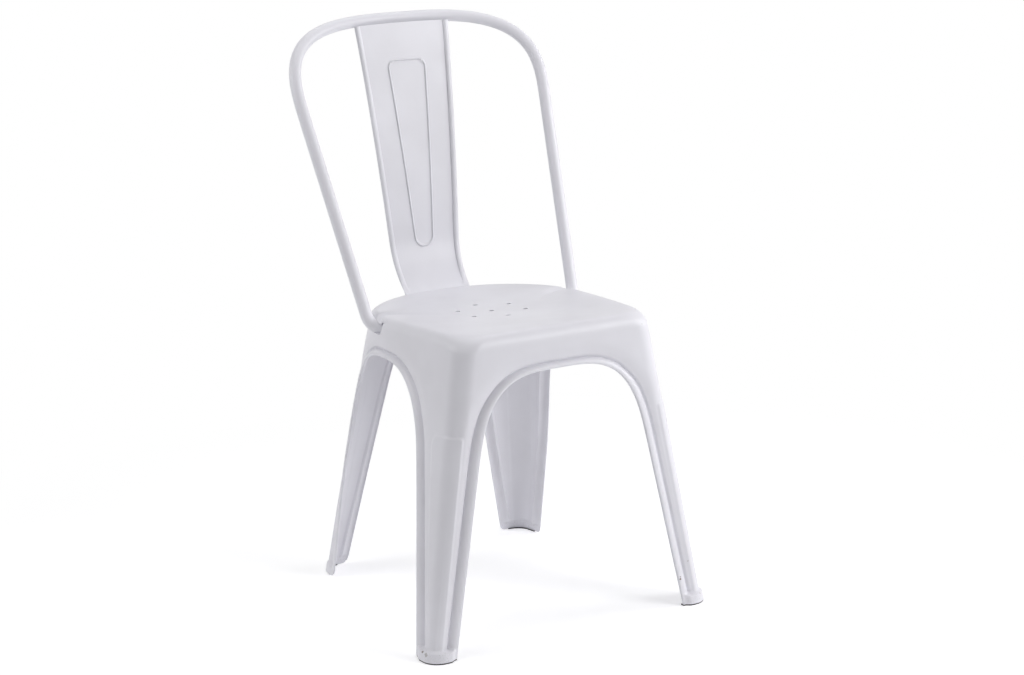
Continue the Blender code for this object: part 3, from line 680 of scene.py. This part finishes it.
def halfOutline(inset, frontReach):     # from front middle to rear middle, at the top of the walls
    points = []
    for end in ("front", "rear"):
        reaches = (frontReach, frontReach) if end == "front" else roundings(end, skirt["top"])
        line = frontReach if end == "front" else seat["rearLine"]
        runs = []
        for kind in ("end", "side"):
            stops = spread(middleDistance(end, kind, skirt["top"]), line, seat["wallRows"])
            runs.append([wallPoint(end, kind, stop, skirt["top"], reaches, -inset) for stop in stops])
        shares = cornerShares(end, (line, line), skirt["top"], reaches)
        bend = [filletPoint(end, share, skirt["top"], reaches, -inset)
                for share in spread(*shares, seat["bendSteps"])[1:-1]]
        quarter = runs[0] + bend + runs[1][::-1]
        points += quarter[:-1] if end == "front" else quarter[::-1]
    return points


def seatHeight(y):
    front, rear = skirt["front"]["y"][1], skirt["rear"]["y"][1]
    return skirt["top"] + mixTo(*seat["rise"], (y - front) / (rear - front))


def seatDish(share):                    # share is the way from the middle to the edge
    return seat["dish"] * (1 - share ** 2) ** seat["dishPower"]


def pressLine(x, y):                    # a shallow valley from each notch towards the middle
    press = seat["press"]
    crestX, crestY = press["crest"]
    out = abs(x) - crestX
    fall = press["outside"] * out ** 2 if out > 0 else press["inside"] * (-out) ** press["power"]
    behind = y - (crestY - fall)
    low, high = press["reach"]
    across = ease(behind / press["step"]) * (1 - ease((behind - press["step"]) / press["back"]))
    return press["depth"] * across * ease((abs(x) - low) / (high - low)) ** 2


def topRows():
    rings = []
    frontRound = skirt["front"]["round"][0][1]
    for share in spread(0, 1, seat["shoulderSteps"]):
        angle = math.pi / 2 * share
        inset = seat["shoulder"] * (1 - math.cos(angle))
        half = halfOutline(inset, mixTo(frontRound, seat["corner"], share))
        ring = []
        for x, y in half:
            height = mixTo(skirt["top"], seatHeight(y), math.sin(angle))
            ring.append((x, y, height - pressLine(x, y) * math.sin(angle)))
        rings.append(ring)
    edge = rings[-1]
    shares = spread(1, seat["midShare"], seat["edgeRings"])[1:]
    shares += spread(seat["midShare"], seat["lastShare"], seat["midRings"])[1:]
    for share in shares:
        ring = []
        for x, y, height in edge:
            x, y = x * share, y * share
            ring.append((x, y, seatHeight(y) - seatDish(share) - pressLine(x, y)))
        rings.append(ring)
    return rings


def notchBox(bm, sign):                 # a block whose front face leans and turns with the mouth
    low, high, rear = seat["notchY"]
    bottom, top = seat["notchZ"]
    wall = straightPoint("rear", "side", rear, skirt["top"])[0].x
    made = bmesh.ops.create_cube(bm, size=1)
    for vert in made["verts"]:
        over = seat["notchTall"] if vert.co.z > 0 else 0
        out = seat["notchX"][1 if vert.co.x > 0 else 0]
        y = rear if vert.co.y > 0 else mixTo(low, high, over) - seat["notchTurn"] * out
        vert.co = (sign * (wall + out), y + shiftY, mixTo(bottom, top, over))
    bmesh.ops.recalc_face_normals(bm, faces=bm.faces)
    edges = {edge for vert in made["verts"] for edge in vert.link_edges}
    bmesh.ops.bevel(bm, geom=list(edges), offset=seat["notchRound"], segments=seat["notchSteps"],
                    profile=0.5, affect="EDGES")


def makeSeat():
    bm = bmesh.new()
    grids = [cornerWall(end) for end in ("front", "rear")]
    grids += [halfWall(end, kind) for end in ("front", "rear") for kind in ("end", "side")]
    grids.append(topRows())
    for rows in grids:
        for sign in (-1, 1):
            addGrid(bm, rows, sign)
    bmesh.ops.remove_doubles(bm, verts=bm.verts, dist=mending["weld"])
    loop = []
    for edge in bm.edges:
        if edge.is_boundary and all(vert.co.z > skirt["top"] - seat["dish"] for vert in edge.verts):
            loop.append(edge)
    bmesh.ops.contextual_create(bm, geom=loop)
    piece = makePiece("seatPan", bm, Vector((0, shiftY, skirt["seam"])))
    thicken(piece)
    bm = bmesh.new()
    places = [(0, 0)]
    for turn in spread(math.pi / 2, math.pi * 5 / 2, seat["holes"])[:-1]:
        places.append((seat["holeCircle"] * math.cos(turn), seat["holeCircle"] * math.sin(turn)))
    for x, y in places:
        surface = seatHeight(y) - seatDish(math.hypot(x, y) / skirt["front"]["half"][1])
        depth, widening = seat["holeDepth"], seat["holeFlare"] * seat["holeDepth"]
        place = Matrix.Translation((x, y + shiftY, surface + seat["holeProud"] - depth / 2))
        bmesh.ops.create_cone(bm, cap_ends=True, segments=seat["holeSides"], depth=depth, matrix=place,
                              radius1=seat["hole"] / 2 + widening, radius2=seat["hole"] / 2)
    cutters = [cutWith(piece, bm)]
    for sign in (-1, 1):
        bm = bmesh.new()
        notchBox(bm, sign)
        cutters.append(cutWith(piece, bm))
    cutters.append(cutWith(piece, hoopMesh(tube["diameter"] / 2 + seat["tubeGap"])))
    settle(piece, cutters)
    return piece


# Splat: from the seat's rear shoulder to the tube's top, rolled edges, pressed ridge in a tapered loop
splat = {
    "half": (0.0546, 0.0784), "bottom": 0.4293, "topDrop": 0.006, "topArch": 0.0015,
    "run": 0.0535, "arc": 0.0266, "kick": 0.0328, "kickPower": 2.5, "bend": 0.084, "bow": 0.0002,
    "bead": 0.0085, "beadRise": 0.0037, "beadPower": 0.8, "beadStart": 0.025, "beadSteps": 10,
    "panelZ": (0.4925, 0.771), "panelHalf": (0.0142, 0.0312), "panelRound": (0.0135, 0.0130),
    "ridge": 0.0020, "ridgeRise": 0.0020,
    "fineZ": (0.004, 0.020, 0.014),     # outside the loop, and inside its lower and its upper end
    "rows": (20, 22, 20, 18, 8), "fineX": 0.003, "columns": (6, 16, 8),
}


def splatTop():
    return tube["top"] - tube["diameter"] / 2 - splat["topDrop"]


def splatY(z):
    share = splat["half"][1] / sideLine(tube["top"]).x
    edge = hoopPoint(math.acos(share ** (tube["power"] / 2)))
    tubeFront = math.sqrt((tube["diameter"] / 2) ** 2 - (edge.z - splatTop()) ** 2)
    topY = edge.y - tubeFront - skirt["sheet"]
    low = (splatTop() - z) / (splatTop() - splat["bottom"])
    kick = max(0, 1 - (z - splat["bottom"]) / splat["bend"])
    back = topY - splat["run"] * low - splat["arc"] * low * (1 - low)
    return back - splat["kick"] * kick ** splat["kickPower"]


def ridgeRise(x, half, z):
    low, high = splat["panelZ"]
    upper = z > (low + high) / 2
    rounded = splat["panelRound"][1 if upper else 0]
    side, up = abs(x) - half + rounded, (z - high if upper else low - z) + rounded
    outside = min(max(side, up), 0) + math.hypot(max(side, 0), max(up, 0)) - rounded
    return splat["ridgeRise"] * max(0, 1 - (outside / splat["ridge"]) ** 2) ** 2


def splatHeights():                     # closer where the ridge turns
    low, high = splat["panelZ"]
    outside, lower, upper = splat["fineZ"]
    edges = [splat["bottom"], low - outside, low + lower, high - upper, high + outside, splatTop()]
    heights = edges[:1]
    for start, stop, count in zip(edges, edges[1:], splat["rows"]):
        heights += spread(start, stop, count)[1:]
    return heights


def splatRows():
    low, high = splat["panelZ"]
    rows = []
    for z in splatHeights():
        half = mixTo(*splat["half"], (z - splat["bottom"]) / (splatTop() - splat["bottom"]))
        panel = mixTo(*splat["panelHalf"], min(1, max(0, (z - low) / (high - low))))
        bead = splat["beadRise"] * ease((z - splat["bottom"]) / splat["beadStart"])
        side = []
        for turn in spread(0, math.pi, splat["beadSteps"]):
            rise = bead * math.sin(turn) ** splat["beadPower"]
            side.append((half - splat["bead"] * (1 - math.cos(turn)) / 2, rise))
        edges = [half - splat["bead"], panel + splat["fineX"], panel - splat["fineX"], 0]
        for start, stop, count in zip(edges, edges[1:], splat["columns"]):
            side += [(x, 0) for x in spread(start, stop, count)[1:]]
        full = [(-x, rise) for x, rise in side[:-1]] + side[::-1]
        y = splatY(z)
        upper = ease((z - high) / (splatTop() - high))
        row = []
        for x, rise in full:
            bow = splat["bow"] * (1 - (x / half) ** 2)
            height = z - splat["topArch"] * (x / half) ** 2 * upper
            row.append((x, y + bow - rise - ridgeRise(x, panel, z), height))
        rows.append(row)
    return rows


def makeSplat():
    bm = bmesh.new()
    addGrid(bm, splatRows())
    piece = makePiece("backSplat", bm, Vector((0, 2 * skirt["rear"]["y"][1], skirt["top"])))
    thicken(piece)
    settle(piece)
    return piece


# Glides: a thin rubber strip under the foot's edge, a little inside it, narrower under the rear feet
glide = {
    "gap": 0.0001, "inset": 0.0004, "round": 0.0004, "width": {"front": 0.006, "rear": 0.003},
    "ends": {"front": 3, "rear": 16},   # points of the foot's outline left bare at each end
}


def makeGlide(end, sign):
    lower, upper, outer = glide["round"], foot["bottom"][end] - glide["gap"], glide["inset"]
    inner, skipped = glide["width"][end], glide["ends"][end]
    profile = [(0, outer + lower), (lower, outer), (upper, outer), (upper, inner), (0, inner)]
    rows = []
    for z, inset in profile + profile[:1]:
        section = legSection(end, foot["bottom"][end], inset, False)[skipped:-skipped]
        rows.append([(x, y, z + lift) for x, y, lift in section])
    bm = bmesh.new()
    addGrid(bm, rows, sign)
    bmesh.ops.remove_doubles(bm, verts=bm.verts, dist=mending["weld"])
    bmesh.ops.holes_fill(bm, edges=bm.edges, sides=0)
    piece = makePiece("glide" + end.capitalize() + sideName(sign).capitalize(), bm)
    settle(piece)
    return piece


whitePaint = paintFinish()
darkRubber = rubberFinish()
blackPlastic = plasticFinish()
print("finishes made")

dress(makeSeat(), whitePaint, "seat_pan")
print("seat made")
for legEnd in ("front", "rear"):
    sections = [legRow(legEnd, z) for z in legHeights(legEnd)]
    for legSign in (-1, 1):
        name = legEnd + "_" + sideName(legSign)
        dress(makeLeg(legEnd, legSign, sections), whitePaint, "leg_" + name)
        dress(makeGlide(legEnd, legSign), darkRubber, "glide_" + name)
print("legs and glides made")
dress(makeHoop(), whitePaint, "back_hoop")
dress(makeSplat(), whitePaint, "back_splat")
print("back made")

# Brace bars and stacking pads keep their solids
for nodeName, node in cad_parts.items():
    if nodeName.startswith("brace"):
        pad = "pad" in nodeName
        node.data.materials.clear()
        node.data.materials.append(blackPlastic if pad else whitePaint)
print("brace dressed")

# Studio: pale floor, white surround for the camera, broad soft lamps from both sides and above
studio = {
    "floor": (0.86, 0.86, 0.87, 1), "floorRough": 0.9, "floorHalf": 1.4,
    "floorGlow": 0.41, "bounce": 0.25,  # what the camera sees, and what lights the chair from below
    "floorFade": (0.45, 1.1),           # way from the middle in which the floor turns white
    "ambient": 0.18,
    "lamps": [
        {"name": "frontBox", "place": (1.3, -2.0, 1.3), "size": 1.2, "watts": 27},
        {"name": "rightBox", "place": (1.9, -0.6, 1.1), "size": 1.2, "watts": 15.5},
        {"name": "leftBox", "place": (-1.8, 0.5, 1.5), "size": 1.2, "watts": 13},
        {"name": "topBox", "place": (0.2, 0.2, 2.2), "size": 1.6, "watts": 9.5},
        {"name": "rearBox", "place": (-2.2, 2.2, 1.8), "size": 2.2, "watts": 5},
        {"name": "leftHighBox", "place": (-2.2, -0.6, 2.8), "size": 2.0, "watts": 9},
    ],
    "aim": (0, 0, 0.42),
}


def showsWhite(finish):                 # 1 for camera, glossy and transmission rays, 0 for light
    rays = [finish.add("ShaderNodeLightPath", {}, {}, out) for out in (0, 3, 6)]
    return rays[0].over(rays[1]).over(rays[2])


def makeFloor():
    bm = bmesh.new()
    bmesh.ops.create_grid(bm, x_segments=1, y_segments=1, size=studio["floorHalf"])
    floor = makePiece("studioFloor", bm)
    finish = Finish(bpy.data.materials.new("studioFloor"))
    finish.set(Base_Color=studio["floor"], Roughness=studio["floorRough"], Specular_IOR_Level=0.0)
    seen = showsWhite(finish)
    strength = mixTo(studio["bounce"], studio["floorGlow"], seen)
    glow = finish.add("ShaderNodeEmission", {}, {"Strength": strength})
    matt = Wire(finish.tree, finish.tree.nodes["Principled BSDF"].outputs[0])
    both = finish.add("ShaderNodeAddShader", {}, {0: matt, 1: glow})
    white = finish.add("ShaderNodeEmission", {}, {"Strength": 1.0})
    away = finish.add("ShaderNodeVectorMath", {"operation": "LENGTH"}, {0: finish.place()}, 1)
    fade = finish.ramp(away, *studio["floorFade"]) * seen
    faded = finish.add("ShaderNodeMixShader", {}, {0: fade, 1: both, 2: white})
    finish.put(finish.tree.nodes["Material Output"].inputs[0], faded)
    floor.data.materials.append(finish.owner)


def makeWorld():
    surround = Finish(bpy.data.worlds.new("studio"))
    background = surround.tree.nodes["Background"]
    surround.put(background.inputs["Color"], (1, 1, 1, 1))
    surround.put(background.inputs["Strength"], mixTo(studio["ambient"], 1, showsWhite(surround)))
    bpy.context.scene.world = surround.owner


def makeLamp(lamp):
    light = bpy.data.lights.new(lamp["name"], "AREA")
    light.shape = "DISK"
    light.size = lamp["size"]
    light.energy = lamp["watts"]
    piece = bpy.data.objects.new(lamp["name"], light)
    piece.location = lamp["place"]
    back = Vector(lamp["place"]) - Vector(studio["aim"])
    piece.rotation_euler = back.to_track_quat("Z", "Y").to_euler()
    bpy.context.scene.collection.objects.link(piece)


# Camera at the photograph's angle: turn round the chair, height, roll, distance and lens
view = {
    "turn": -29.5368, "rise": 13.3024, "roll": -1.7071, "away": 3.1725, "lens": 76.574, "sensor": 36,
    "aim": (0.0325, 0.0, 0.3825),
}


def makeCamera():
    turn, rise, roll = (math.radians(view[key]) for key in ("turn", "rise", "roll"))
    back = Vector((math.sin(turn) * math.cos(rise), -math.cos(turn) * math.cos(rise), math.sin(rise)))
    right = Vector((0, 0, 1)).cross(back).normalized()
    up = back.cross(right)
    rolledRight = right * math.cos(roll) + up * math.sin(roll)
    rolledUp = up * math.cos(roll) - right * math.sin(roll)
    lens = bpy.data.cameras.new("photoCamera")
    lens.lens = view["lens"]
    lens.sensor_width = view["sensor"]
    camera = bpy.data.objects.new("photoCamera", lens)
    place = Vector(view["aim"]) + Vector((0, shiftY, 0)) + back * view["away"]
    turned = Matrix((rolledRight, rolledUp, back)).transposed().to_4x4()
    camera.matrix_world = Matrix.Translation(place) @ turned
    bpy.context.scene.collection.objects.link(camera)
    bpy.context.scene.camera = camera


makeFloor()
makeWorld()
for lampSettings in studio["lamps"]:
    makeLamp(lampSettings)
makeCamera()
bpy.context.scene.view_settings.view_transform = "Standard"
print("studio made")
